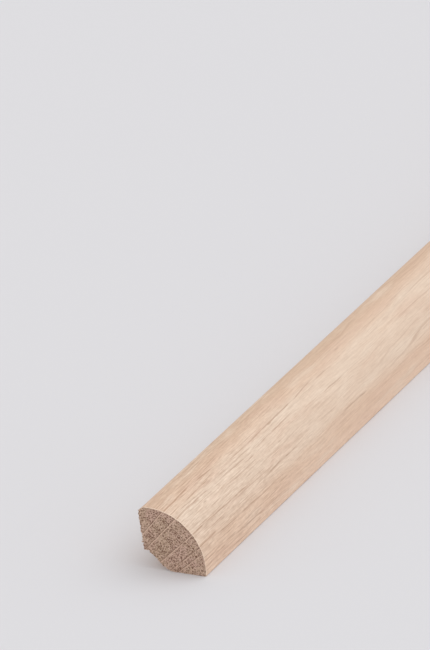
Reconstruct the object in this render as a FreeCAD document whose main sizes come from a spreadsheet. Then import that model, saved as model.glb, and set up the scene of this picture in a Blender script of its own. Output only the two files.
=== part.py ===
# Quarter round moulding: one machined length of solid oak, lying on its floor face.
# The length runs along Y. The wall side is at -X, and the rounded face looks to +X and up.
# The origin is on the floor, under the middle of the section and halfway along the length.
import FreeCAD, Part
import math
import os
import Sketcher

NODE = "quarter_round_moulding"

# Sizes in millimetres and degrees: name, value, and what is measured.
SIZES = (
    ("stock_length", 1000.0, "length of the piece as sold"),
    ("face_radius", 12.5, "radius of the quarter-circle face"),
    ("toe_land", 1.5, "upright flat at the foot of the face"),
    ("top_land", 0.9, "level flat between the face and the nose"),
    ("nose_radius", 1.6, "round from the top over to the wall side"),
    ("relief_angle", 6.5, "lean of the wall side off the wall, in degrees"),
    ("heel_height", 5.4, "height up the wall side where the heel bevel starts"),
    ("heel_width", 6.0, "distance in from the wall where the heel bevel ends"),
    ("arris_radius", 0.2, "easing of the long sharp edges"),
)

# The face and the lands beside it add up to the width and the height of the section.
WIDTH = "(Sizes.face_radius + Sizes.top_land + Sizes.nose_radius)"
BACK_SLOPE = "90 deg + Sizes.relief_angle * 1 deg"

# A corner is told apart from its neighbours well within this distance.
CORNER_REACH = 0.01


def size_sheet(doc):
    """The spreadsheet of driving sizes, one row for each, named by its alias."""
    sheet = doc.addObject("Spreadsheet::Sheet", "Sizes")
    for row, (name, value, meaning) in enumerate(SIZES, start=1):
        sheet.set(f"A{row}", name)
        sheet.set(f"B{row}", str(value))
        sheet.setAlias(f"B{row}", name)
        sheet.set(f"C{row}", meaning)
    doc.recompute()
    return sheet


def section_points(sheet):
    """The corners and centres of the section, across (x) and up (y), where the sizes put them."""
    toe_land = sheet.get("toe_land")
    face_radius = sheet.get("face_radius")
    nose_radius = sheet.get("nose_radius")
    relief = math.radians(sheet.get("relief_angle"))
    width = face_radius + sheet.get("top_land") + nose_radius
    height = face_radius + toe_land
    wall = -width / 2
    room = width / 2
    nose_centre = FreeCAD.Vector(wall + nose_radius, height - nose_radius)
    nose_back = nose_centre - FreeCAD.Vector(math.cos(relief), math.sin(relief)) * nose_radius
    heel_height = sheet.get("heel_height")
    lean = (nose_back.y - heel_height) * math.tan(relief)
    return {
        "heel_foot": FreeCAD.Vector(wall + sheet.get("heel_width"), 0),
        "toe_foot": FreeCAD.Vector(room, 0),
        "toe_top": FreeCAD.Vector(room, toe_land),
        "face_centre": FreeCAD.Vector(room - face_radius, toe_land),
        "face_top": FreeCAD.Vector(room - face_radius, height),
        "nose_centre": nose_centre,
        "nose_top": FreeCAD.Vector(nose_centre.x, height),
        "nose_back": nose_back,
        "heel_top": FreeCAD.Vector(nose_back.x + lean, heel_height),
    }


def origin_plane(body, role):
    """One of the body's own origin planes, such as XZ_Plane."""
    return next(feature for feature in body.Origin.OriginFeatures if feature.Role == role)


def arc(centre, radius, start_angle, end_angle):
    """An arc of the section, anticlockwise from one angle to the other, in radians."""
    circle = Part.Circle(centre, FreeCAD.Vector(0, 0, 1), radius)
    return Part.ArcOfCircle(circle, start_angle, end_angle)


def section_sketch(body, sheet):
    """The section: floor, toe, quarter-circle face, top, nose, wall side and heel bevel."""
    sketch = body.newObject("Sketcher::SketchObject", "Section")
    sketch.AttachmentSupport = [(origin_plane(body, "XZ_Plane"), "")]
    sketch.MapMode = "FlatFace"

    points = section_points(sheet)
    face_radius = sheet.get("face_radius")
    nose_radius = sheet.get("nose_radius")
    quarter = math.pi / 2
    nose_end = math.pi + math.radians(sheet.get("relief_angle"))

    floor = sketch.addGeometry(Part.LineSegment(points["heel_foot"], points["toe_foot"]))
    toe = sketch.addGeometry(Part.LineSegment(points["toe_foot"], points["toe_top"]))
    face = sketch.addGeometry(arc(points["face_centre"], face_radius, 0, quarter))
    top = sketch.addGeometry(Part.LineSegment(points["face_top"], points["nose_top"]))
    nose = sketch.addGeometry(arc(points["nose_centre"], nose_radius, quarter, nose_end))
    back = sketch.addGeometry(Part.LineSegment(points["heel_top"], points["nose_back"]))
    heel = sketch.addGeometry(Part.LineSegment(points["heel_top"], points["heel_foot"]))

    # The ends of a line or arc, and the level axis and its origin, as a sketch counts them.
    start, end = (1, 2)
    level_axis = -1
    origin_point = (level_axis, start)

    # The corners meet, and the face and the nose run smoothly into the flats beside them.
    sketch.addConstraint([
        Sketcher.Constraint("Coincident", floor, end, toe, start),
        Sketcher.Constraint("Coincident", back, start, heel, start),
        Sketcher.Constraint("Coincident", heel, end, floor, start),
        Sketcher.Constraint("Tangent", toe, end, face, start),
        Sketcher.Constraint("Tangent", face, end, top, start),
        Sketcher.Constraint("Tangent", top, end, nose, start),
        Sketcher.Constraint("Tangent", nose, end, back, end),
        Sketcher.Constraint("Horizontal", floor),
        Sketcher.Constraint("Horizontal", top),
        Sketcher.Constraint("Vertical", toe),
        Sketcher.Constraint("PointOnObject", floor, start, level_axis),
    ])

    width = points["toe_foot"].x * 2
    floor_width = points["toe_foot"].x - points["heel_foot"].x
    back_slope = quarter + math.radians(sheet.get("relief_angle"))
    driven = (
        (Sketcher.Constraint("DistanceX", *origin_point, toe, start, width / 2), f"{WIDTH} / 2"),
        (Sketcher.Constraint("Distance", toe, sheet.get("toe_land")), "Sizes.toe_land"),
        (Sketcher.Constraint("Radius", face, face_radius), "Sizes.face_radius"),
        (Sketcher.Constraint("Distance", top, sheet.get("top_land")), "Sizes.top_land"),
        (Sketcher.Constraint("Radius", nose, nose_radius), "Sizes.nose_radius"),
        (Sketcher.Constraint("Angle", back, back_slope), BACK_SLOPE),
        (Sketcher.Constraint("DistanceY", *origin_point, heel, start, points["heel_top"].y),
         "Sizes.heel_height"),
        (Sketcher.Constraint("Distance", floor, floor_width), f"{WIDTH} - Sizes.heel_width"),
    )
    for constraint, expression in driven:
        index = sketch.addConstraint(constraint)
        sketch.setExpression(f"Constraints[{index}]", expression)
    return sketch


def stock(body, section):
    """The section run out to the full length, half to each side of the origin."""
    pad = body.newObject("PartDesign::Pad", "Stock")
    pad.Profile = section
    pad.SideType = "Symmetric"
    pad.setExpression("Length", "Sizes.stock_length")
    return pad


def long_edges(shape, corners):
    """The names of the edges that run the whole length through the given section corners."""
    names = []
    for number, edge in enumerate(shape.Edges, start=1):
        middle = edge.CenterOfMass
        halfway = abs(middle.y) < CORNER_REACH
        for corner in corners:
            beside = math.hypot(middle.x - corner.x, middle.z - corner.y) < CORNER_REACH
            if halfway and beside:
                names.append(f"Edge{number}")
    return names


def eased_edges(body, pad, sheet):
    """The sharp edges at the toe, the foot of the bevel and its top, eased by a small radius."""
    points = section_points(sheet)
    corners = [points[name] for name in ("toe_foot", "heel_foot", "heel_top")]
    fillet = body.newObject("PartDesign::Fillet", "EasedEdges")
    fillet.Base = (pad, long_edges(pad.Shape, corners))
    fillet.setExpression("Radius", "Sizes.arris_radius")
    return fillet


def check(doc, body, section):
    """Stop if the sketch is loose, a feature failed, or the solid isn't one sound piece."""
    if not section.FullyConstrained:
        raise RuntimeError("the section is not fully constrained")
    for item in doc.Objects:
        if "Invalid" in item.State or "Error" in item.State:
            raise RuntimeError(f"{item.Label} failed: {item.State}")
    shape = body.Shape
    if shape.isNull() or not shape.isValid() or len(shape.Solids) != 1:
        raise RuntimeError(f"{body.Label} is not one valid solid")


def main():
    doc = FreeCAD.newDocument("QuarterRoundMoulding")
    sheet = size_sheet(doc)

    body = doc.addObject("PartDesign::Body", "Moulding")
    body.Label = NODE
    body.Placement = FreeCAD.Placement()

    section = section_sketch(body, sheet)
    pad = stock(body, section)
    doc.recompute()
    eased_edges(body, pad, sheet)
    doc.recompute()
    check(doc, body, section)

    os.makedirs("parts", exist_ok=True)
    body.Shape.exportStep(f"parts/{body.Label}.step")

    solid = body.Shape.Solids[0]
    box = solid.BoundBox
    middle = solid.CenterOfMass
    print(f"{body.Label}: {box.XLength:.3f} x {box.YLength:.3f} x {box.ZLength:.3f} mm")
    print(f"section {solid.Volume / box.YLength:.2f} mm2")
    print(f"centre of mass at {middle.x:.2f} across and {middle.z:.2f} up")


main()
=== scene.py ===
import math

import bmesh
import bpy
from mathutils import Matrix, Vector, noise


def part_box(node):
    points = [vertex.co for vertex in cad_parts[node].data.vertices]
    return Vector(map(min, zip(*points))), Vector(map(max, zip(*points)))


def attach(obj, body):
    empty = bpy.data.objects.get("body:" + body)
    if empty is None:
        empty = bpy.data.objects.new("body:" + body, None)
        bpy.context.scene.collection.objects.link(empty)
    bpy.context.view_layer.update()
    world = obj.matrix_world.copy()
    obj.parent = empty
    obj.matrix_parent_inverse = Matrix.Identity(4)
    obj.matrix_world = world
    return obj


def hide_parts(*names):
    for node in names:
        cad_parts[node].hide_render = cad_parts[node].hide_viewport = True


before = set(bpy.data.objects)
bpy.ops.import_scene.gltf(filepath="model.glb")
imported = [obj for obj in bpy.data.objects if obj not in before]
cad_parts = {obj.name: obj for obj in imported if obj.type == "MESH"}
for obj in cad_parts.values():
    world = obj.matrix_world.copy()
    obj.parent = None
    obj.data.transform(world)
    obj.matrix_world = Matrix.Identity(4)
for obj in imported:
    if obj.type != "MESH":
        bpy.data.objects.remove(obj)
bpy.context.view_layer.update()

# Raw oak quarter round, in metres, in the part's own frame: the length runs along Y, the back
# is at -X, and the moulding lies on its floor face at Z = 0.
MM = 0.001
NODE = "quarter_round_moulding"
BODY = "root"
LOW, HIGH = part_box(NODE)
LENGTH = HIGH.y - LOW.y
BACK_X = LOW.x
FRONT_X = HIGH.x
TOP_Z = HIGH.z

# The section: a quarter-circle face, a rounded nose, a relieved back and a bevelled heel.
FACE_RADIUS = 12.5 * MM
NOSE_RADIUS = 1.6 * MM
ARRIS_RADIUS = 0.2 * MM
RELIEF = math.radians(6.5)
HEEL_HEIGHT = 5.4 * MM
HEEL_WIDTH = 6.0 * MM

# How finely the moulding is meshed, round its section and along its length.
SECTION_STEP = 0.12 * MM
CORNER_STEPS = 40
RINGS = 130

# A face belongs to a sawn end when its normal points at least this much along the wood.
SAWN = 0.5

# Points nearer together than this are one point, and points within the other are on one line.
SAME_POINT = 0.001 * MM
ON_LINE = 0.1 * MM

# The saw tore the heel at the near end. At each distance down the bevel from its top, this is
# how far the torn wood stands out from the bevel, or in from it where it broke away, in mm.
TORN_HEEL = (
    (0.0, 0.0), (0.3, 0.33), (0.87, 0.83), (1.12, 0.55), (1.8, -0.12), (2.14, 0.12),
    (3.1, -0.03), (4.3, -0.12), (6.25, -0.17), (7.2, -0.44), (7.6, -0.44),
)

# The torn lip and the worn foot fade out between these distances from the near end, in mm, and
# each does so a little unevenly. On the floor face the wear runs out over the last width.
LIP_FADE = (2.6, 0.5)
WEAR_FADE = (18.0, 4.0)
LIP_UNEVEN = 0.5
WEAR_UNEVEN = 3
UNEVEN_PER_MM = 1.7
WEAR_UNDER = 1.2 * MM

# The saw's roughened rim: how far it goes in from the end, and how many small and large bumps
# it has to the mm and how high they are, in mm. Up the back the large ones are teeth, full up
# to one height above the heel and gone at the top. Below the heel this share of them is left.
RIM_REACH = 0.7 * MM
SMALL_BUMPS = 5
SMALL_HEIGHT = 0.35
LARGE_BUMPS = 3.1
LARGE_HEIGHT = 0.5
TEETH_FULL_TO = HEEL_HEIGHT * 1.4
TEETH_BELOW_HEEL = 0.2

# The growth rings are round the pith, which lay below and behind the section, in mm. Places
# round it are angles times its distance from the middle of the section.
PITH_X = -48.0
PITH_Z = -41.0
PITH_DISTANCE = 67.6
FACE_AROUND = math.radians(45) * PITH_DISTANCE
RING_WIDTH = 2.75
RING_START = 70.4

# On the sawn ends a pattern hardly changes along the wood: this is its step that way, in mm.
ALONG_STEP = 40.0

# On the sawn end: the angle round the pith of each wide ray, in degrees, and how clearly it shows.
WIDE_RAYS = ((39.9, 0.95), (41.0, 0.75), (43.5, 1.0), (47.3, 0.95), (49.7, 0.95))

# The stretches of a ring, between two such angles, where its double row of vessels shows best.
CLEAR_ROWS = ((44.2, 46.4), (47.7, 49.1))

# The boldest vessel lines on the long face, in mm: how far round the section from the toe's foot
# a line starts and ends, where it starts and ends along the wood from the near end, and how
# clearly it shows. A line that the saw cut through starts below 0.
BOLD_LINES = (
    (17.7, 18.2, -3, 15, 0.9), (17.9, 17.6, 14, 25, 0.8), (16.2, 16.1, 6, 20, 0.8),
    (14.4, 14.7, -3, 6, 1.0), (14.7, 14.5, 3, 18, 0.9), (14.4, 14.0, 19, 38, 0.8),
    (14.0, 14.4, 37, 58, 0.75), (13.3, 13.2, 31, 37, 0.8), (12.6, 12.1, 19, 34, 0.6),
    (9.8, 9.6, -3, 28, 0.9), (8.3, 8.4, 28, 52, 0.8), (6.9, 6.8, -3, 10, 0.8),
    (6.1, 5.8, 7, 38, 0.8), (3.4, 3.8, -3, 10, 0.8), (3.3, 2.5, 9, 39, 0.8),
    (2.2, 2.4, -3, 9, 0.7), (1.4, 0.9, 8, 21, 0.7), (16.0, 16.4, 36, 62, 0.8),
    (16.2, 16.9, 60, 73, 0.65), (16.3, 16.0, 71, 83, 0.65), (12.7, 12.8, 69, 82, 0.65),
    (6.9, 6.5, 70, 86, 0.75),
)


def srgb(red, green, blue):
    """A colour as read off a screen, 0 to 255, turned into the linear colour a shader takes."""
    channels = (value / 255 for value in (red, green, blue))
    linear = [c / 12.92 if c <= 0.04045 else ((c + 0.055) / 1.055) ** 2.4 for c in channels]
    return (*linear, 1.0)


# Planed oak along the grain.
# The paler toe, the paler middle and the tan top are painted light and shade across the face.
PAINTED_LIGHT_TOE = srgb(238, 208, 184)
TAN_FACE = srgb(227, 196, 171)
PAINTED_SHADE_TOP = srgb(216, 187, 162)
PAINTED_LIGHT_MIDDLE = srgb(234, 211, 190)
RING_BROWN = srgb(208, 172, 145)
BLUSH = srgb(220, 186, 163)
CREAM = srgb(238, 218, 198)
VESSEL_BROWN = srgb(172, 129, 100)
RAY_END_BROWN = srgb(160, 122, 94)
# The pale rim is partly crushed fibre and partly a painted highlight.
CRUSHED_RIM_AND_HIGHLIGHT = srgb(244, 222, 200)

# Sawn oak across the grain.
PINK_PATCH = srgb(206, 173, 155)
TAN_PATCH = srgb(202, 173, 150)
FINE_RAY = srgb(218, 186, 166)
FIBRE_BUNDLE = srgb(226, 199, 180)
OPEN_PORE = srgb(106, 69, 48)
# The dark line beside each wide ray is a painted shadow.
PAINTED_RAY_SHADOW = srgb(116, 86, 69)
WIDE_RAY = srgb(224, 192, 170)

# The torn fibres, and the studio.
TORN_TAN = srgb(214, 180, 152)
TORN_PALE = srgb(240, 216, 192)
FLOOR_GREY = srgb(225, 224, 227)
BACKDROP_GREY = srgb(223, 222, 226)
WHITE = (1.0, 1.0, 1.0, 1.0)


class Graph:
    """A node tree being wired up: add() makes a node and sets or links its named inputs."""

    def __init__(self, tree):
        self.tree = tree

    def add(self, kind, settings=None, inputs=None):
        node = self.tree.nodes.new(kind)
        for name, value in (settings or {}).items():
            setattr(node, name, value)
        for name, value in (inputs or {}).items():
            if isinstance(value, bpy.types.NodeSocket):
                self.tree.links.new(value, node.inputs[name])
            else:
                node.inputs[name].default_value = value
        return node

    def math(self, operation, first, second=0.0, third=0.0):
        values = {0: first, 1: second, 2: third}
        return self.add("ShaderNodeMath", {"operation": operation}, values).outputs[0]

    def vector(self, x=0.0, y=0.0, z=0.0):
        return self.add("ShaderNodeCombineXYZ", inputs={0: x, 1: y, 2: z}).outputs[0]

    def split(self, vector):
        return self.add("ShaderNodeSeparateXYZ", inputs={0: vector}).outputs

    def ease(self, value, start, end, low=0.0, high=1.0):
        """A smooth step of value from low at start to high at end."""
        levels = {"Value": value, "From Min": start, "From Max": end, "To Min": low, "To Max": high}
        settings = {"interpolation_type": "SMOOTHSTEP"}
        return self.add("ShaderNodeMapRange", settings, levels).outputs["Result"]

    def blend(self, share, first, second, way="MIX"):
        """Two colours mixed by share, or by a colour operation such as MULTIPLY."""
        settings = {"data_type": "RGBA", "blend_type": way}
        return self.add("ShaderNodeMix", settings, {0: share, 6: first, 7: second}).outputs[2]

    def noise(self, vector, detail=2.0, roughness=0.5):
        levels = {"Vector": vector, "Scale": 1.0, "Detail": detail, "Roughness": roughness}
        return self.add("ShaderNodeTexNoise", inputs=levels).outputs

    def cells(self, vector, feature="F1"):
        """Distance to the nearest of a field of scattered points, one to each unit cell."""
        levels = {"Vector": vector, "Scale": 1.0, "Randomness": 1.0}
        return self.add("ShaderNodeTexVoronoi", {"feature": feature}, levels).outputs["Distance"]


def new_object(name, mesh):
    piece = bpy.data.objects.new(name, mesh)
    bpy.context.scene.collection.objects.link(piece)
    return piece


def geometry_tree(name, inputs):
    """A Geometry Nodes tree that takes a mesh and the named inputs, and its graph and sockets."""
    tree = bpy.data.node_groups.new(name, "GeometryNodeTree")
    tree.interface.new_socket(name="Geometry", in_out="INPUT", socket_type="NodeSocketGeometry")
    tree.interface.new_socket(name="Geometry", in_out="OUTPUT", socket_type="NodeSocketGeometry")
    kinds = {
        float: "NodeSocketFloat",
        int: "NodeSocketInt",
        bpy.types.Material: "NodeSocketMaterial",
    }
    for label, value in inputs.items():
        kind = kinds[type(value)]
        tree.interface.new_socket(name=label, in_out="INPUT", socket_type=kind)
    graph = Graph(tree)
    given = graph.add("NodeGroupInput").outputs
    return graph, given


def run_tree(base, graph, inputs, name):
    """The plain mesh that a tree makes of base, which is then thrown away."""
    modifier = base.modifiers.new(name, "NODES")
    modifier.node_group = graph.tree
    for item in graph.tree.interface.items_tree:
        if item.in_out == "INPUT" and item.name in inputs:
            modifier[item.identifier] = inputs[item.name]
    depsgraph = bpy.context.evaluated_depsgraph_get()
    mesh = bpy.data.meshes.new_from_object(base.evaluated_get(depsgraph))
    mesh.name = name
    bpy.data.objects.remove(base)
    return mesh


def back_at(z):
    """Where across the section the relieved back is at that height."""
    below = z - (TOP_Z - NOSE_RADIUS)
    return BACK_X + NOSE_RADIUS - (NOSE_RADIUS + below * math.sin(RELIEF)) / math.cos(RELIEF)


def section_corners():
    """The section's sharp corners before rounding, as (x, z), with the radius that rounds each."""
    return (
        (BACK_X + HEEL_WIDTH, 0.0, ARRIS_RADIUS),
        (FRONT_X, 0.0, ARRIS_RADIUS),
        (FRONT_X, TOP_Z, FACE_RADIUS),
        (back_at(TOP_Z), TOP_Z, NOSE_RADIUS),
        (back_at(HEEL_HEIGHT), HEEL_HEIGHT, ARRIS_RADIUS),
    )


def section_ring():
    """A closed ring of edges through the section's sharp corners, each with its radius."""
    corners = section_corners()
    count = len(corners)
    mesh = bpy.data.meshes.new("section")
    edges = [(index, (index + 1) % count) for index in range(count)]
    mesh.from_pydata([(x, z, 0.0) for x, z, radius in corners], edges, [])
    radii = mesh.attributes.new("corner_radius", "FLOAT", "POINT")
    for item, (x, z, radius) in zip(radii.data, corners):
        item.value = radius
    return new_object("section", mesh)


def run_section(long_grain, end_grain):
    """The section, rounded at its corners, run along the length and closed at its sawn ends."""
    inputs = {
        "Length": LENGTH,
        "Section Step": SECTION_STEP,
        "Corner Steps": CORNER_STEPS,
        "Rings": RINGS,
        "Long Grain": long_grain,
        "End Grain": end_grain,
    }
    graph, given = geometry_tree("Run the section", inputs)
    ring = graph.add("GeometryNodeMeshToCurve", inputs={"Mesh": given["Geometry"]})
    radius = graph.add("GeometryNodeInputNamedAttribute", {"data_type": "FLOAT"},
                       {"Name": "corner_radius"})
    rounded = graph.add("GeometryNodeFilletCurve", {"mode": "POLY"}, {
        "Curve": ring.outputs["Curve"],
        "Count": given["Corner Steps"],
        "Radius": radius.outputs["Attribute"],
    })
    section = graph.add("GeometryNodeResampleCurve", {"mode": "LENGTH"}, {
        "Curve": rounded.outputs["Curve"],
        "Length": given["Section Step"],
    })
    way_round = graph.add("GeometryNodeSplineParameter").outputs["Length"]
    each_point = {"data_type": "FLOAT", "domain": "POINT"}
    measured = graph.add("GeometryNodeStoreNamedAttribute", each_point, {
        "Geometry": section.outputs["Curve"],
        "Name": "way_round",
        "Value": way_round,
    })

    # The rings stand close together at the sawn ends and far apart along the middle.
    half = graph.math("MULTIPLY", given["Length"], 0.5)
    line = graph.add("GeometryNodeCurvePrimitiveLine", inputs={
        "Start": graph.vector(y=half),
        "End": graph.vector(y=graph.math("MULTIPLY", half, -1.0)),
    })
    stations = graph.add("GeometryNodeResampleCurve", {"mode": "COUNT"}, {
        "Curve": line.outputs["Curve"],
        "Count": given["Rings"],
    })
    factor = graph.add("GeometryNodeSplineParameter").outputs["Factor"]
    turn = graph.math("MULTIPLY", factor, math.pi)
    place = graph.math("MULTIPLY", graph.math("COSINE", turn), half)
    bunched = graph.add("GeometryNodeSetPosition", inputs={
        "Geometry": stations.outputs["Curve"],
        "Position": graph.vector(y=place),
    })
    upright = graph.add("GeometryNodeSetCurveTilt", inputs={
        "Curve": bunched.outputs["Geometry"],
        "Tilt": math.pi,
    })

    solid = graph.add("GeometryNodeCurveToMesh", inputs={
        "Curve": upright.outputs["Curve"],
        "Profile Curve": measured.outputs["Geometry"],
        "Fill Caps": True,
    })
    planed = graph.add("GeometryNodeSetMaterial", inputs={
        "Geometry": solid.outputs["Mesh"],
        "Material": given["Long Grain"],
    })
    facing = graph.split(graph.add("GeometryNodeInputNormal").outputs["Normal"])["Y"]
    sawn = graph.math("GREATER_THAN", graph.math("ABSOLUTE", facing), SAWN)
    finished = graph.add("GeometryNodeSetMaterial", inputs={
        "Geometry": planed.outputs["Geometry"],
        "Selection": sawn,
        "Material": given["End Grain"],
    })
    realized = graph.add("GeometryNodeRealizeInstances",
                         inputs={"Geometry": finished.outputs["Geometry"]})
    graph.add("NodeGroupOutput", inputs={"Geometry": realized.outputs["Geometry"]})
    return run_tree(section_ring(), graph, inputs, "moulding")


def wood_space(graph):
    """Where a point is in the tree: out from the pith, round it, and along the grain, in mm."""
    coordinates = graph.add("ShaderNodeTexCoord").outputs["Object"]
    x, y, z = graph.split(graph.add("ShaderNodeVectorMath", {"operation": "SCALE"},
                                    {0: coordinates, "Scale": 1 / MM}).outputs[0])
    across = graph.math("SUBTRACT", x, PITH_X)
    up = graph.math("SUBTRACT", z, PITH_Z)
    out = graph.math("SQRT", graph.math("ADD", graph.math("POWER", across, 2.0),
                                        graph.math("POWER", up, 2.0)))
    around = graph.math("MULTIPLY", graph.math("ARCTAN2", up, across), PITH_DISTANCE)
    return out, around, y


def sway(graph, space, amount, reach):
    """The grain sways to either side as it runs, by up to this amount, over this length."""
    out, around, along = space
    slow = stretched(graph, space, (reach / 3, reach / 3, reach))
    red, green, blue = graph.split(graph.noise(slow, detail=1.0)["Color"])
    out = graph.math("MULTIPLY_ADD", graph.math("SUBTRACT", red, 0.5), amount * 2, out)
    around = graph.math("MULTIPLY_ADD", graph.math("SUBTRACT", green, 0.5), amount * 2, around)
    return out, around, along


def stretched(graph, space, steps, offset=0.0):
    """The wood's own coordinates, counted in steps of these sizes out, around and along."""
    counted = [graph.math("MULTIPLY_ADD", place, 1 / step, offset)
               for place, step in zip(space, steps)]
    return graph.vector(*counted)


def cloudy(graph, space, steps, offset=0.0, detail=2.0):
    """Soft patches from 0 to 1, of about these sizes in mm out, around and along the wood."""
    return graph.noise(stretched(graph, space, steps, offset), detail=detail)["Fac"]


def scattered(graph, space, steps, offset=0.0):
    """How far it is to the nearest of many scattered marks, one to each step of these sizes."""
    return graph.cells(stretched(graph, space, steps, offset))


def away_from(graph, value, place):
    """How far a value is from a place, to either side."""
    return graph.math("ABSOLUTE", graph.math("SUBTRACT", value, place))


def ring_place(graph, out):
    """How far out a point is from the start of its growth ring, or in from the next, in mm."""
    turns = graph.math("DIVIDE", graph.math("SUBTRACT", out, RING_START), RING_WIDTH)
    nearest = graph.math("SNAP", graph.math("ADD", turns, 0.5), 1.0)
    return graph.math("MULTIPLY", graph.math("SUBTRACT", turns, nearest), RING_WIDTH)


def shaded(graph, colour, amount, green, blue):
    """A colour darker or lighter by a share of its red, and by this much more of green and blue."""
    tone = graph.vector(graph.math("ADD", amount, 1.0),
                        graph.math("MULTIPLY_ADD", amount, green, 1.0),
                        graph.math("MULTIPLY_ADD", amount, blue, 1.0))
    return graph.blend(1.0, colour, tone, "MULTIPLY")


def grain_lines(graph, space, spacing, width, run):
    """Long thin lines that keep side by side, fade in and out, and wander as they run."""
    out, around, along = space
    unlike_neighbour = 7.31
    wavy = cloudy(graph, space, (5.0, 3.0, 55.0), 17.2, detail=1.0)
    place = graph.math("DIVIDE", graph.math("MULTIPLY_ADD", wavy, spacing * 3, around), spacing)
    line = graph.math("SNAP", graph.math("ADD", place, 0.5), 1.0)
    off = graph.math("MULTIPLY", away_from(graph, place, line), spacing)
    thin = graph.ease(off, width, width * 0.2)
    each = graph.vector(graph.math("MULTIPLY", line, unlike_neighbour),
                        graph.math("DIVIDE", along, run))
    breaks = graph.ease(graph.noise(each, detail=2.0)["Fac"], 0.44, 0.62)
    return graph.math("MULTIPLY", thin, breaks)


def round_pith(way):
    """How far round the pith a point of the toe or the face is, from its way round the section."""
    toe_land = TOP_Z - FACE_RADIUS
    turn = max(way * MM - toe_land, 0.0) / FACE_RADIUS
    x = FRONT_X - FACE_RADIUS + FACE_RADIUS * math.cos(turn)
    z = min(way * MM, toe_land) + FACE_RADIUS * math.sin(turn)
    return math.atan2(z / MM - PITH_Z, x / MM - PITH_X) * PITH_DISTANCE


def bold_lines(graph, space, from_near):
    """The boldest vessel lines, each in its own place and as dark as it shows."""
    out, around, along = space
    edge, core = (0.2, 0.04)
    longest_fade = 4.0
    darkest = 0.0
    for start_round, end_round, start, end, clearness in BOLD_LINES:
        slope = (round_pith(end_round) - round_pith(start_round)) / (end - start)
        place = graph.math("MULTIPLY_ADD", from_near, slope, round_pith(start_round) - slope * start)
        off = away_from(graph, around, place)
        fade = min(longest_fade, (end - start) / 3)
        begun = graph.ease(from_near, start, start + fade)
        ended = graph.ease(from_near, end - fade, end, 1.0, 0.0)
        line = graph.math("MULTIPLY", ended, graph.ease(off, edge, core))
        line = graph.math("MULTIPLY", begun, line)
        darkest = graph.math("MAXIMUM", darkest, graph.math("MULTIPLY", line, clearness))
    return darkest


def blank_material(name):
    """A new material with no nodes yet, and its graph."""
    material = bpy.data.materials.new(name)
    material.use_nodes = True
    graph = Graph(material.node_tree)
    graph.tree.nodes.clear()
    return material, graph


def raised(graph, relief, strength, depth):
    """The surface's normal where the relief stands up by its share of this depth."""
    levels = {"Strength": strength, "Distance": depth, "Height": relief}
    return graph.add("ShaderNodeBump", inputs=levels).outputs[0]


def bare_wood(graph, levels):
    """The shader of unfinished wood, wired to the material's output."""
    shader = graph.add("ShaderNodeBsdfPrincipled", inputs=levels)
    graph.add("ShaderNodeOutputMaterial", inputs={"Surface": shader.outputs[0]})


def growth_bands_and_painted_light(graph, space, beside):
    """Tan wood, growth rings and soft patches, with painted light at the toe and along the middle of
    the face, and painted shade at the top.
    """
    slow = cloudy(graph, space, (6.0, 3.5, 80.0))
    outer = graph.math("MULTIPLY_ADD", slow, 2.4, space[0])
    # Painted light: paler towards the toe, where the lamp lights the face less.
    colour = graph.blend(graph.ease(beside, -4.5, -9.5), TAN_FACE, PAINTED_LIGHT_TOE)
    # Painted shade: darker towards the top.
    colour = graph.blend(graph.ease(beside, 5.5, 9.5), colour, PAINTED_SHADE_TOP)
    # Painted light: a paler band along the middle of the face, where it is most lit.
    aslant = graph.math("MULTIPLY_ADD", beside, 0.08, outer)
    colour = graph.blend(graph.ease(aslant, 72.0, 74.4), colour, PAINTED_LIGHT_MIDDLE)
    start = graph.math("ABSOLUTE", ring_place(graph, graph.math("SUBTRACT", outer, 1.2)))
    early = graph.ease(start, 0.5, 0.1)
    colour = graph.blend(graph.math("MULTIPLY", early, 0.16), colour, RING_BROWN)
    blush = cloudy(graph, space, (4.0, 2.4, 18.0), 31.7)
    colour = graph.blend(graph.ease(blush, 0.5, 0.7, 0.0, 0.35), colour, BLUSH)
    return graph.blend(graph.ease(blush, 0.48, 0.3, 0.0, 0.4), colour, CREAM)


def cut_vessels(graph, straight, space, from_near):
    """Rows of vessels cut along their length: long dark lines, and shorter ones between them."""
    lines = grain_lines(graph, space, 1.4, 0.18, 30.0)
    lines = graph.math("MULTIPLY", lines, graph.ease(from_near, 70.0, 120.0, 0.3, 1.0))
    finer = grain_lines(graph, sway(graph, straight, 0.5, 17.0), 0.6, 0.12, 11.0)
    finer = graph.math("MULTIPLY", finer, 0.6)
    strokes = scattered(graph, space, (0.55, 0.55, 15.0), 12.3)
    short = graph.math("MULTIPLY", graph.ease(strokes, 0.30, 0.12), 0.25)
    return graph.math("MAXIMUM", graph.math("MAXIMUM", lines, finer), short)


def broken_bold_lines(graph, straight, from_near):
    """The boldest vessel lines, wandering a little and paler here and there."""
    wandering = sway(graph, sway(graph, straight, 0.28, 13.0), 0.12, 4.0)
    broken = cloudy(graph, straight, (0.6, 0.5, 4.5), 19.3)
    lines = bold_lines(graph, wandering, from_near)
    return graph.math("MULTIPLY", lines, graph.ease(broken, 0.32, 0.56, 0.4))


def fibre_tone(graph, space, fibres):
    """How much darker or lighter the fibres, threads, flecks and ripples make the wood."""
    threads = cloudy(graph, space, (0.45, 0.45, 14.0), 3.3)
    flecks = cloudy(graph, space, (0.5, 0.42, 1.3), 21.4, detail=3.0)
    tone = graph.math("ADD", graph.ease(fibres, 0.25, 0.75, -0.115, 0.095),
                      graph.ease(threads, 0.3, 0.7, -0.035, 0.035))
    tone = graph.math("ADD", tone, graph.ease(flecks, 0.25, 0.75, -0.035, 0.035))
    ripples = cloudy(graph, space, (1.2, 1.1, 0.55), 40.3)
    return graph.math("ADD", tone, graph.ease(ripples, 0.25, 0.75, -0.025, 0.025))


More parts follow.
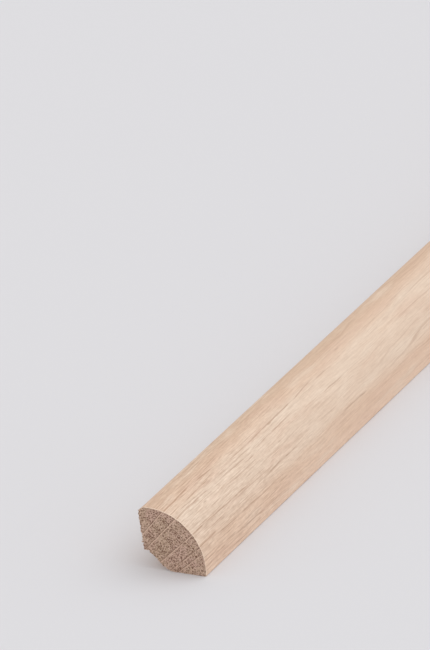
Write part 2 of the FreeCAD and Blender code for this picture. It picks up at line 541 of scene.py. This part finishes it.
def crushed_rim_and_highlight(graph, straight, space):
    """The thin pale rim at each end, a little ragged: crushed fibre that the saw leaves, and a
    painted highlight where light catches the arris.
    """
    from_end = graph.math("SUBTRACT", LENGTH / 2 / MM, graph.math("ABSOLUTE", space[2]))
    ragged = cloudy(graph, straight, (0.5, 0.45, 3.0), 14.6, detail=1.0)
    ragged = graph.ease(ragged, 0.35, 0.6, 0.35, 0.9)
    return graph.math("MULTIPLY", graph.ease(from_end, 0.38, 0.12), ragged)


def raw_oak_long_grain():
    """Planed raw oak along the grain: growth bands, painted light and shade, vessel lines, fibres
    and ray ends.
    """
    material, graph = blank_material("raw_oak_long_grain")
    straight = wood_space(graph)
    space = sway(graph, sway(graph, straight, 0.7, 24.0), 0.3, 8.0)
    from_near = graph.math("ADD", space[2], LENGTH / 2 / MM)
    beside = graph.math("SUBTRACT", space[1], FACE_AROUND)
    colour = growth_bands_and_painted_light(graph, space, beside)

    # The figure is strongest near the sawn end, and quieter along the rest and down at the toe.
    grooves = cut_vessels(graph, straight, space, from_near)
    strength = graph.ease(from_near, 85.0, 15.0, 0.42, 1.0)
    grooves = graph.math("MULTIPLY", grooves, strength)
    grooves = graph.math("MULTIPLY", grooves, graph.ease(beside, -9.5, -7.0, 0.6, 1.0))

    # The boldest lines only darken the colour. With the relief made from them too, the renderer
    # had room for 26 of them in this material, but not for 32.
    darkened = graph.math("MAXIMUM", grooves, broken_bold_lines(graph, straight, from_near))
    colour = graph.blend(graph.math("MULTIPLY", darkened, 0.66), colour, VESSEL_BROWN)

    # Fine fibres, darker and lighter, and the small dark spindles where rays end at the surface.
    fibres = cloudy(graph, space, (0.19, 0.18, 3.3), 5.1)
    tone = graph.math("MULTIPLY", fibre_tone(graph, space, fibres), strength)
    colour = shaded(graph, colour, tone, 1.25, 1.45)
    spindles = scattered(graph, space, (3.5, 3.5, 24.0), 7.9)
    spindles = graph.math("MULTIPLY", graph.ease(spindles, 0.06, 0.02, 0.0, 0.5), strength)
    colour = graph.blend(spindles, colour, RAY_END_BROWN)
    # Partly crushed fibre, partly a painted highlight on the sawn edge.
    colour = graph.blend(crushed_rim_and_highlight(graph, straight, space), colour, CRUSHED_RIM_AND_HIGHLIGHT)

    relief = graph.math("SUBTRACT", graph.math("MULTIPLY", fibres, 0.4), grooves)
    bare_wood(graph, {
        "Base Color": colour,
        "Roughness": graph.ease(grooves, 0.0, 1.0, 0.62, 0.75),
        "Specular IOR Level": 0.3,
        "Normal": raised(graph, relief, 0.4, 0.05 * MM),
    })
    return material


def ring_rows(graph, space, start):
    """The double rows of vessels at the start of each ring, drawn as dashes, clearest in places."""
    out, around, along = space
    broken = cloudy(graph, space, (1.5, 0.5, ALONG_STEP), 6.1, detail=1.0)
    shown = graph.ease(broken, 0.45, 0.6, 0.0, 0.55)
    for first, last in CLEAR_ROWS:
        middle = math.radians((first + last) / 2) * PITH_DISTANCE
        half = math.radians((last - first) / 2) * PITH_DISTANCE
        off = away_from(graph, around, middle)
        shown = graph.math("MAXIMUM", shown, graph.ease(off, half, half * 0.9))
    row_offset = 0.2
    vessel_spacing = 0.36
    rows = graph.ease(away_from(graph, start, row_offset), 0.14, 0.05)
    vessel = graph.math("PINGPONG", graph.math("DIVIDE", around, vessel_spacing), 0.5)
    dashes = graph.math("MULTIPLY", rows, graph.ease(vessel, 0.12, 0.32))
    return graph.math("MULTIPLY", dashes, shown)


def open_pores(graph, space, patch):
    """Open pores, large and small, more of them here than there, and in rows at each ring."""
    start = graph.math("MULTIPLY_ADD", patch, 0.5, space[0])
    start = graph.math("ABSOLUTE", ring_place(graph, start))
    early = graph.ease(start, 0.6, 0.2)
    crowd = cloudy(graph, space, (1.1, 1.1, ALONG_STEP), 8.8)
    crowded = graph.ease(crowd, 0.35, 0.65, 0.83, 0.93)
    open_share = graph.math("MULTIPLY_ADD", early, 0.12, crowded)
    large = scattered(graph, space, (0.40, 0.44, ALONG_STEP))
    small = scattered(graph, space, (0.27, 0.27, ALONG_STEP), 9.2)
    pores = graph.math("MAXIMUM", graph.ease(large, 0.50, 0.24),
                       graph.ease(small, 0.46, 0.18, 0.0, 0.7))
    rows = ring_rows(graph, space, start)
    return graph.math("MAXIMUM", graph.math("MULTIPLY", pores, open_share), rows)


def wide_rays(graph, straight, around, colour):
    """The wide rays run as thin pale lines, each with a painted shadow, a dark line, close beside
    it.
    """
    shadow_offset = 0.2
    breaks = cloudy(graph, straight, (1.6, 0.8, ALONG_STEP), 3.7)
    breaks = graph.ease(breaks, 0.32, 0.55, 0.55, 0.95)
    for angle, clearness in WIDE_RAYS:
        offset = graph.math("SUBTRACT", around, math.radians(angle) * PITH_DISTANCE)
        # Painted shadow: a dark line just beside the ray.
        dark = graph.ease(away_from(graph, offset, shadow_offset), 0.14, 0.05, 0.0, clearness * 0.55)
        colour = graph.blend(dark, colour, PAINTED_RAY_SHADOW)
        line = graph.ease(graph.math("ABSOLUTE", offset), 0.15, 0.06, 0.0, clearness)
        colour = graph.blend(graph.math("MULTIPLY", line, breaks), colour, WIDE_RAY)
    return colour


def raw_oak_end_grain():
    """Sawn raw oak across the grain: open pores in rows, thin pale rays with painted shadows, darker
    than the face.
    """
    material, graph = blank_material("raw_oak_end_grain")
    straight = wood_space(graph)
    space = sway(graph, straight, 0.10, 2.5)
    around = space[1]

    # Tan wood with pinker and yellower patches, finely speckled.
    patch = cloudy(graph, space, (3.0, 3.0, ALONG_STEP))
    colour = graph.blend(graph.ease(patch, 0.35, 0.65), PINK_PATCH, TAN_PATCH)
    speckle = cloudy(graph, space, (0.18, 0.20, ALONG_STEP), 2.2)
    colour = shaded(graph, colour, graph.ease(speckle, 0.28, 0.72, -0.25, 0.23), 1.15, 1.3)

    # Fine rays and fibre bundles are pale, and the vessels between them are open dark pores.
    fine_ray_spacing = 0.62
    fine = graph.math("PINGPONG", graph.math("DIVIDE", around, fine_ray_spacing), 0.5)
    colour = graph.blend(graph.ease(fine, 0.12, 0.02, 0.0, 0.4), colour, FINE_RAY)
    bundles = scattered(graph, space, (0.44, 0.42, ALONG_STEP), 4.4)
    colour = graph.blend(graph.ease(bundles, 0.42, 0.14, 0.0, 0.66), colour, FIBRE_BUNDLE)
    pores = open_pores(graph, space, patch)
    colour = graph.blend(graph.math("MULTIPLY", pores, 0.9), colour, OPEN_PORE)
    colour = wide_rays(graph, straight, around, colour)

    bare_wood(graph, {
        "Base Color": colour,
        "Roughness": 0.85,
        "Specular IOR Level": 0.2,
        "Normal": raised(graph, graph.math("MULTIPLY", pores, -1.0), 0.6, 0.1 * MM),
    })
    return material


def torn_fibre():
    """Raw ends of torn oak fibre: pale and quite matt."""
    material, graph = blank_material("torn_oak_fibre")
    tone = cloudy(graph, wood_space(graph), (0.3, 0.3, 0.3), detail=1.0)
    bare_wood(graph, {
        "Base Color": graph.blend(tone, TORN_TAN, TORN_PALE),
        "Roughness": 0.9,
        "Specular IOR Level": 0.2,
    })
    return material


def ease(value, start, end):
    """0 at start, 1 at end, smoothly in between; the end may come before the start."""
    share = min(max((value - start) / (end - start), 0.0), 1.0)
    return share * share * (3 - 2 * share)


def read_off(table, value):
    """The height of a broken line through the table's points, at that value."""
    for (start, low), (end, high) in zip(table, table[1:]):
        if value <= end:
            return low + (high - low) * (value - start) / (end - start)
    return table[-1][1]


def tear_heel(shell):
    """Pull the near end's heel out into its torn lip, and wear the foot of its bevel away."""
    top = Vector((back_at(HEEL_HEIGHT), HEEL_HEIGHT))
    foot = Vector((BACK_X + HEEL_WIDTH, 0.0))
    down = (foot - top).normalized()
    outward = Vector((down.y, -down.x))
    bevel = (foot - top).length
    worn = outward * read_off(TORN_HEEL, bevel / MM) * MM
    worn_end = foot.x + WEAR_UNDER
    for vert in shell.verts:
        from_end = (vert.co.y + LENGTH / 2) / MM
        place = Vector((vert.co.x, vert.co.z))
        along = (place - top).dot(down)
        beside = abs((place - top).dot(outward)) < ON_LINE
        uneven = noise.noise(Vector((along / MM * UNEVEN_PER_MM, from_end, 0.0)))
        wear_share = ease(from_end + uneven * WEAR_UNEVEN, *WEAR_FADE)
        if beside and -ON_LINE < along < bevel:
            height = read_off(TORN_HEEL, along / MM) * MM
            lip_share = ease(from_end + uneven * LIP_UNEVEN, *LIP_FADE)
            share = lip_share if height > 0 else wear_share
            place += outward * height * share
        elif abs(place.y) < ON_LINE and place.x < worn_end:
            place += worn * wear_share * ease(place.x, worn_end, foot.x)
        vert.co.x = place.x
        vert.co.z = place.y


def saw_rim(shell):
    """Roughen the sawn ends' edges on the back, bevel and floor, with teeth above the heel."""
    on_floor = 0.02 * MM
    slice_height = 5.0
    middle = Vector(((BACK_X + FRONT_X) / 2, TOP_Z / 2))
    for vert in shell.verts:
        x, y, z = vert.co
        from_end = LENGTH / 2 - abs(y)
        hidden = z < on_floor or x < BACK_X + (TOP_Z - z)
        if from_end > RIM_REACH or not hidden:
            continue
        place = Vector((x, z))
        outward = (place - middle).normalized()
        small = noise.noise(Vector((x / MM * SMALL_BUMPS, z / MM * SMALL_BUMPS, y / MM)))
        large = noise.noise(Vector((x / MM * LARGE_BUMPS, z / MM * LARGE_BUMPS, slice_height)))
        toothed = ease(z, TOP_Z, TEETH_FULL_TO) if z > HEEL_HEIGHT else TEETH_BELOW_HEEL
        height = small * SMALL_HEIGHT + large * LARGE_HEIGHT * toothed
        place += outward * (height * MM * (1 - from_end / RIM_REACH))
        vert.co.x = max(place.x, BACK_X)
        vert.co.z = max(place.y, 0.0)


def torn_edge(shell):
    """A line of edges down the near end's rim, from the back to the foot of the bevel."""
    highest = 9.5 * MM
    lowest = 1.0 * MM
    rim = [vert for vert in shell.verts
           if vert.co.y < -LENGTH / 2 + SAME_POINT and lowest < vert.co.z < highest
           and vert.co.x < BACK_X + HEEL_WIDTH]
    rim.sort(key=lambda vert: vert.co.x - vert.co.z)
    mesh = bpy.data.meshes.new("torn_edge")
    edges = [(index, index + 1) for index in range(len(rim) - 1)]
    mesh.from_pydata([vert.co.copy() for vert in rim], edges, [])
    return new_object("torn_edge", mesh)


def chance(graph, given, turn, kind, low, high):
    """A random value for each fibre between low and high, from the tree's seed and this turn."""
    seed = graph.math("ADD", given["Seed"], turn)
    names = {"Min": low, "Max": high, "Seed": seed}
    node = graph.add("FunctionNodeRandomValue", {"data_type": kind})
    for socket in node.inputs:
        if not socket.enabled or socket.name not in names:
            continue
        value = names[socket.name]
        if isinstance(value, bpy.types.NodeSocket):
            graph.tree.links.new(value, socket)
        else:
            socket.default_value = value
    return next(socket for socket in node.outputs if socket.enabled)


def torn_fibres(edge, material):
    """Short tapered fibres standing out of the torn edge, each a few faces."""
    inputs = {
        "Count": 90,
        "Shortest": 0.08 * MM,
        "Longest": 0.30 * MM,
        "Thickness": 0.035 * MM,
        "Seed": 7,
        "Fibre": material,
    }
    graph, given = geometry_tree("Stand fibres on the edge", inputs)
    line = graph.add("GeometryNodeMeshToCurve", inputs={"Mesh": given["Geometry"]})
    points = graph.add("GeometryNodeCurveToPoints", {"mode": "COUNT"},
                       {"Curve": line.outputs["Curve"], "Count": given["Count"]})

    # Each fibre leans outwards from the edge and back along the wood, never past the sawn end.
    outward = graph.add("ShaderNodeVectorMath", {"operation": "CROSS_PRODUCT"},
                        {0: (0.0, 1.0, 0.0), 1: points.outputs["Tangent"]}).outputs[0]
    lean = chance(graph, given, 1, "FLOAT_VECTOR", (-0.6, 0.0, -0.6), (0.6, 0.7, 0.6))
    heading = graph.add("ShaderNodeVectorMath", {"operation": "ADD"},
                        {0: outward, 1: lean}).outputs[0]
    rotation = graph.add("FunctionNodeAlignRotationToVector", {"axis": "Z"}, {"Vector": heading})
    length = chance(graph, given, 2, "FLOAT", given["Shortest"], given["Longest"])
    nearest = graph.math("MULTIPLY", given["Longest"], 0.15)
    set_back = chance(graph, given, 3, "FLOAT", nearest, given["Longest"])
    placed = graph.add("GeometryNodeSetPosition", inputs={
        "Geometry": points.outputs["Points"],
        "Offset": graph.vector(y=set_back),
    })
    sliver = graph.add("GeometryNodeMeshCone", inputs={
        "Vertices": 4,
        "Radius Top": 0.0,
        "Radius Bottom": given["Thickness"],
        "Depth": 1.0,
    })
    fibres = graph.add("GeometryNodeInstanceOnPoints", inputs={
        "Points": placed.outputs["Geometry"],
        "Instance": sliver.outputs["Mesh"],
        "Rotation": rotation.outputs["Rotation"],
        "Scale": graph.vector(1.0, 1.0, length),
    })
    realized = graph.add("GeometryNodeRealizeInstances",
                         inputs={"Geometry": fibres.outputs["Instances"]})
    finished = graph.add("GeometryNodeSetMaterial", inputs={
        "Geometry": realized.outputs["Geometry"],
        "Material": given["Fibre"],
    })
    graph.add("NodeGroupOutput", inputs={"Geometry": finished.outputs["Geometry"]})
    piece = new_object("torn_fibres", run_tree(edge, graph, inputs, "torn_fibres"))
    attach(piece, BODY)
    return piece


def lay_flat(shell):
    """A map for baking: the long faces as strips side by side, and the sawn ends above them."""
    strips = 5
    strip_length = LENGTH / strips
    strip_spacing = 0.198
    overrun = 7 * MM
    scale = 0.0038 / MM
    end_scale = 0.0125 / MM
    margin = 0.005
    far_end_start = 0.5
    ends_up = margin * 2 + (strip_length + overrun * 2) * scale
    way_round = shell.verts.layers.float["way_round"]
    girth = max(vert[way_round] for vert in shell.verts) + SECTION_STEP
    places = shell.loops.layers.uv.new("OFBake")
    for face in shell.faces:
        middle = face.calc_center_median()
        if abs(face.normal.y) > SAWN:
            shift = margin if middle.y < 0 else far_end_start
            for loop in face.loops:
                across = (loop.vert.co.x - BACK_X) * end_scale
                loop[places].uv = (shift + across, ends_up + loop.vert.co.z * end_scale)
            continue
        strip = min(int((middle.y + LENGTH / 2) / strip_length), strips - 1)
        start = -LENGTH / 2 + strip * strip_length
        wraps = max(vert[way_round] for vert in face.verts) > girth * 0.75
        for loop in face.loops:
            turn = loop.vert[way_round]
            if wraps and turn < girth * 0.25:
                turn += girth
            run = loop.vert.co.y - start + overrun
            across = margin + strip * strip_spacing + turn * scale
            loop[places].uv = (across, margin + run * scale)


def moulding():
    """The whole length as one closed piece, in place of the plain solid, and its torn fibres."""
    mesh = run_section(raw_oak_long_grain(), raw_oak_end_grain())
    shell = bmesh.new()
    shell.from_mesh(mesh)
    bmesh.ops.remove_doubles(shell, verts=shell.verts, dist=SAME_POINT)
    bmesh.ops.recalc_face_normals(shell, faces=shell.faces)
    for face in shell.faces:
        face.smooth = abs(face.normal.y) < SAWN
    for edge in shell.edges:
        edge.smooth = all(face.smooth for face in edge.link_faces)
    tear_heel(shell)
    saw_rim(shell)
    lay_flat(shell)
    torn = torn_edge(shell)
    shell.to_mesh(mesh)
    shell.free()
    piece = new_object("moulding", mesh)
    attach(piece, BODY)
    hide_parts(NODE)
    torn_fibres(torn, torn_fibre())
    return piece


def floor():
    """A wide pale floor, just under the moulding."""
    reach = 150.0
    drop = -0.02 * MM
    signs = ((-1, -1), (1, -1), (1, 1), (-1, 1))
    corners = [(across * reach, along * reach, drop) for across, along in signs]
    mesh = bpy.data.meshes.new("floor")
    mesh.from_pydata(corners, [], [(0, 1, 2, 3)])
    material = bpy.data.materials.new("pale_floor")
    material.use_nodes = True
    shader = material.node_tree.nodes["Principled BSDF"]
    shader.inputs["Base Color"].default_value = FLOOR_GREY
    shader.inputs["Roughness"].default_value = 0.9
    shader.inputs["Specular IOR Level"].default_value = 0.1
    mesh.materials.append(material)
    ground = new_object("floor", mesh)


def pointing(azimuth, elevation):
    """The direction at that angle round from the front and up from level."""
    level = math.cos(elevation)
    return Vector((math.cos(azimuth) * level, math.sin(azimuth) * level, math.sin(elevation)))


def lights():
    """Soft daylight from all round, with one broad lamp high in front."""
    world = bpy.data.worlds.new("daylight")
    bpy.context.scene.world = world
    world.use_nodes = True
    graph = Graph(world.node_tree)
    graph.tree.nodes.clear()
    path = graph.add("ShaderNodeLightPath").outputs
    seen = graph.math("MAXIMUM", path["Is Camera Ray"],
                      graph.math("MAXIMUM", path["Is Glossy Ray"], path["Is Transmission Ray"]))
    ambient = graph.add("ShaderNodeBackground", inputs={"Color": WHITE, "Strength": 0.79})
    backdrop = graph.add("ShaderNodeBackground",
                         inputs={"Color": BACKDROP_GREY, "Strength": 1.0})
    mixed = graph.add("ShaderNodeMixShader",
                      inputs={0: seen, 1: ambient.outputs[0], 2: backdrop.outputs[0]})
    graph.add("ShaderNodeOutputWorld", inputs={"Surface": mixed.outputs[0]})

    lamp = bpy.data.lights.new("window", "SUN")
    lamp.energy = 0.66
    lamp.angle = math.radians(60)
    sun = bpy.data.objects.new("window", lamp)
    towards = pointing(azimuth=math.radians(40), elevation=math.radians(62))
    sun.rotation_mode = "QUATERNION"
    sun.rotation_quaternion = towards.to_track_quat("Z", "Y")
    bpy.context.scene.collection.objects.link(sun)


def camera():
    """A long lens from in front, marked on the foot of the back at the near end."""
    image_width = 430
    image_height = 650
    focal_length = 8000
    mark_across = 141.755
    mark_down = 566.977
    distance = 1.67868
    azimuth = math.radians(26.852)
    elevation = math.radians(23.542)
    roll = math.radians(-3.616)

    level = Vector((math.cos(azimuth), math.sin(azimuth), 0))
    forward = Vector((-math.sin(azimuth) * math.cos(elevation),
                      math.cos(azimuth) * math.cos(elevation), -math.sin(elevation)))
    upward = level.cross(forward)
    right = level * math.cos(roll) + upward * math.sin(roll)
    top = upward * math.cos(roll) - level * math.sin(roll)
    mark = Vector((BACK_X, -LENGTH / 2, 0))
    side = (mark_across - image_width / 2) * distance / focal_length
    rise = (image_height / 2 - mark_down) * distance / focal_length
    place = mark - right * side - top * rise - forward * distance

    data = bpy.data.cameras.new("camera")
    data.sensor_width = 36
    data.lens = focal_length / image_height * data.sensor_width
    data.clip_start = 0.05
    data.clip_end = 500
    eye = bpy.data.objects.new("camera", data)
    turn = Matrix((right, top, -forward)).transposed()
    eye.matrix_world = Matrix.Translation(place) @ turn.to_4x4()
    bpy.context.scene.collection.objects.link(eye)
    bpy.context.scene.camera = eye


bpy.context.scene.view_settings.view_transform = "Standard"
moulding()
floor()
lights()
camera()
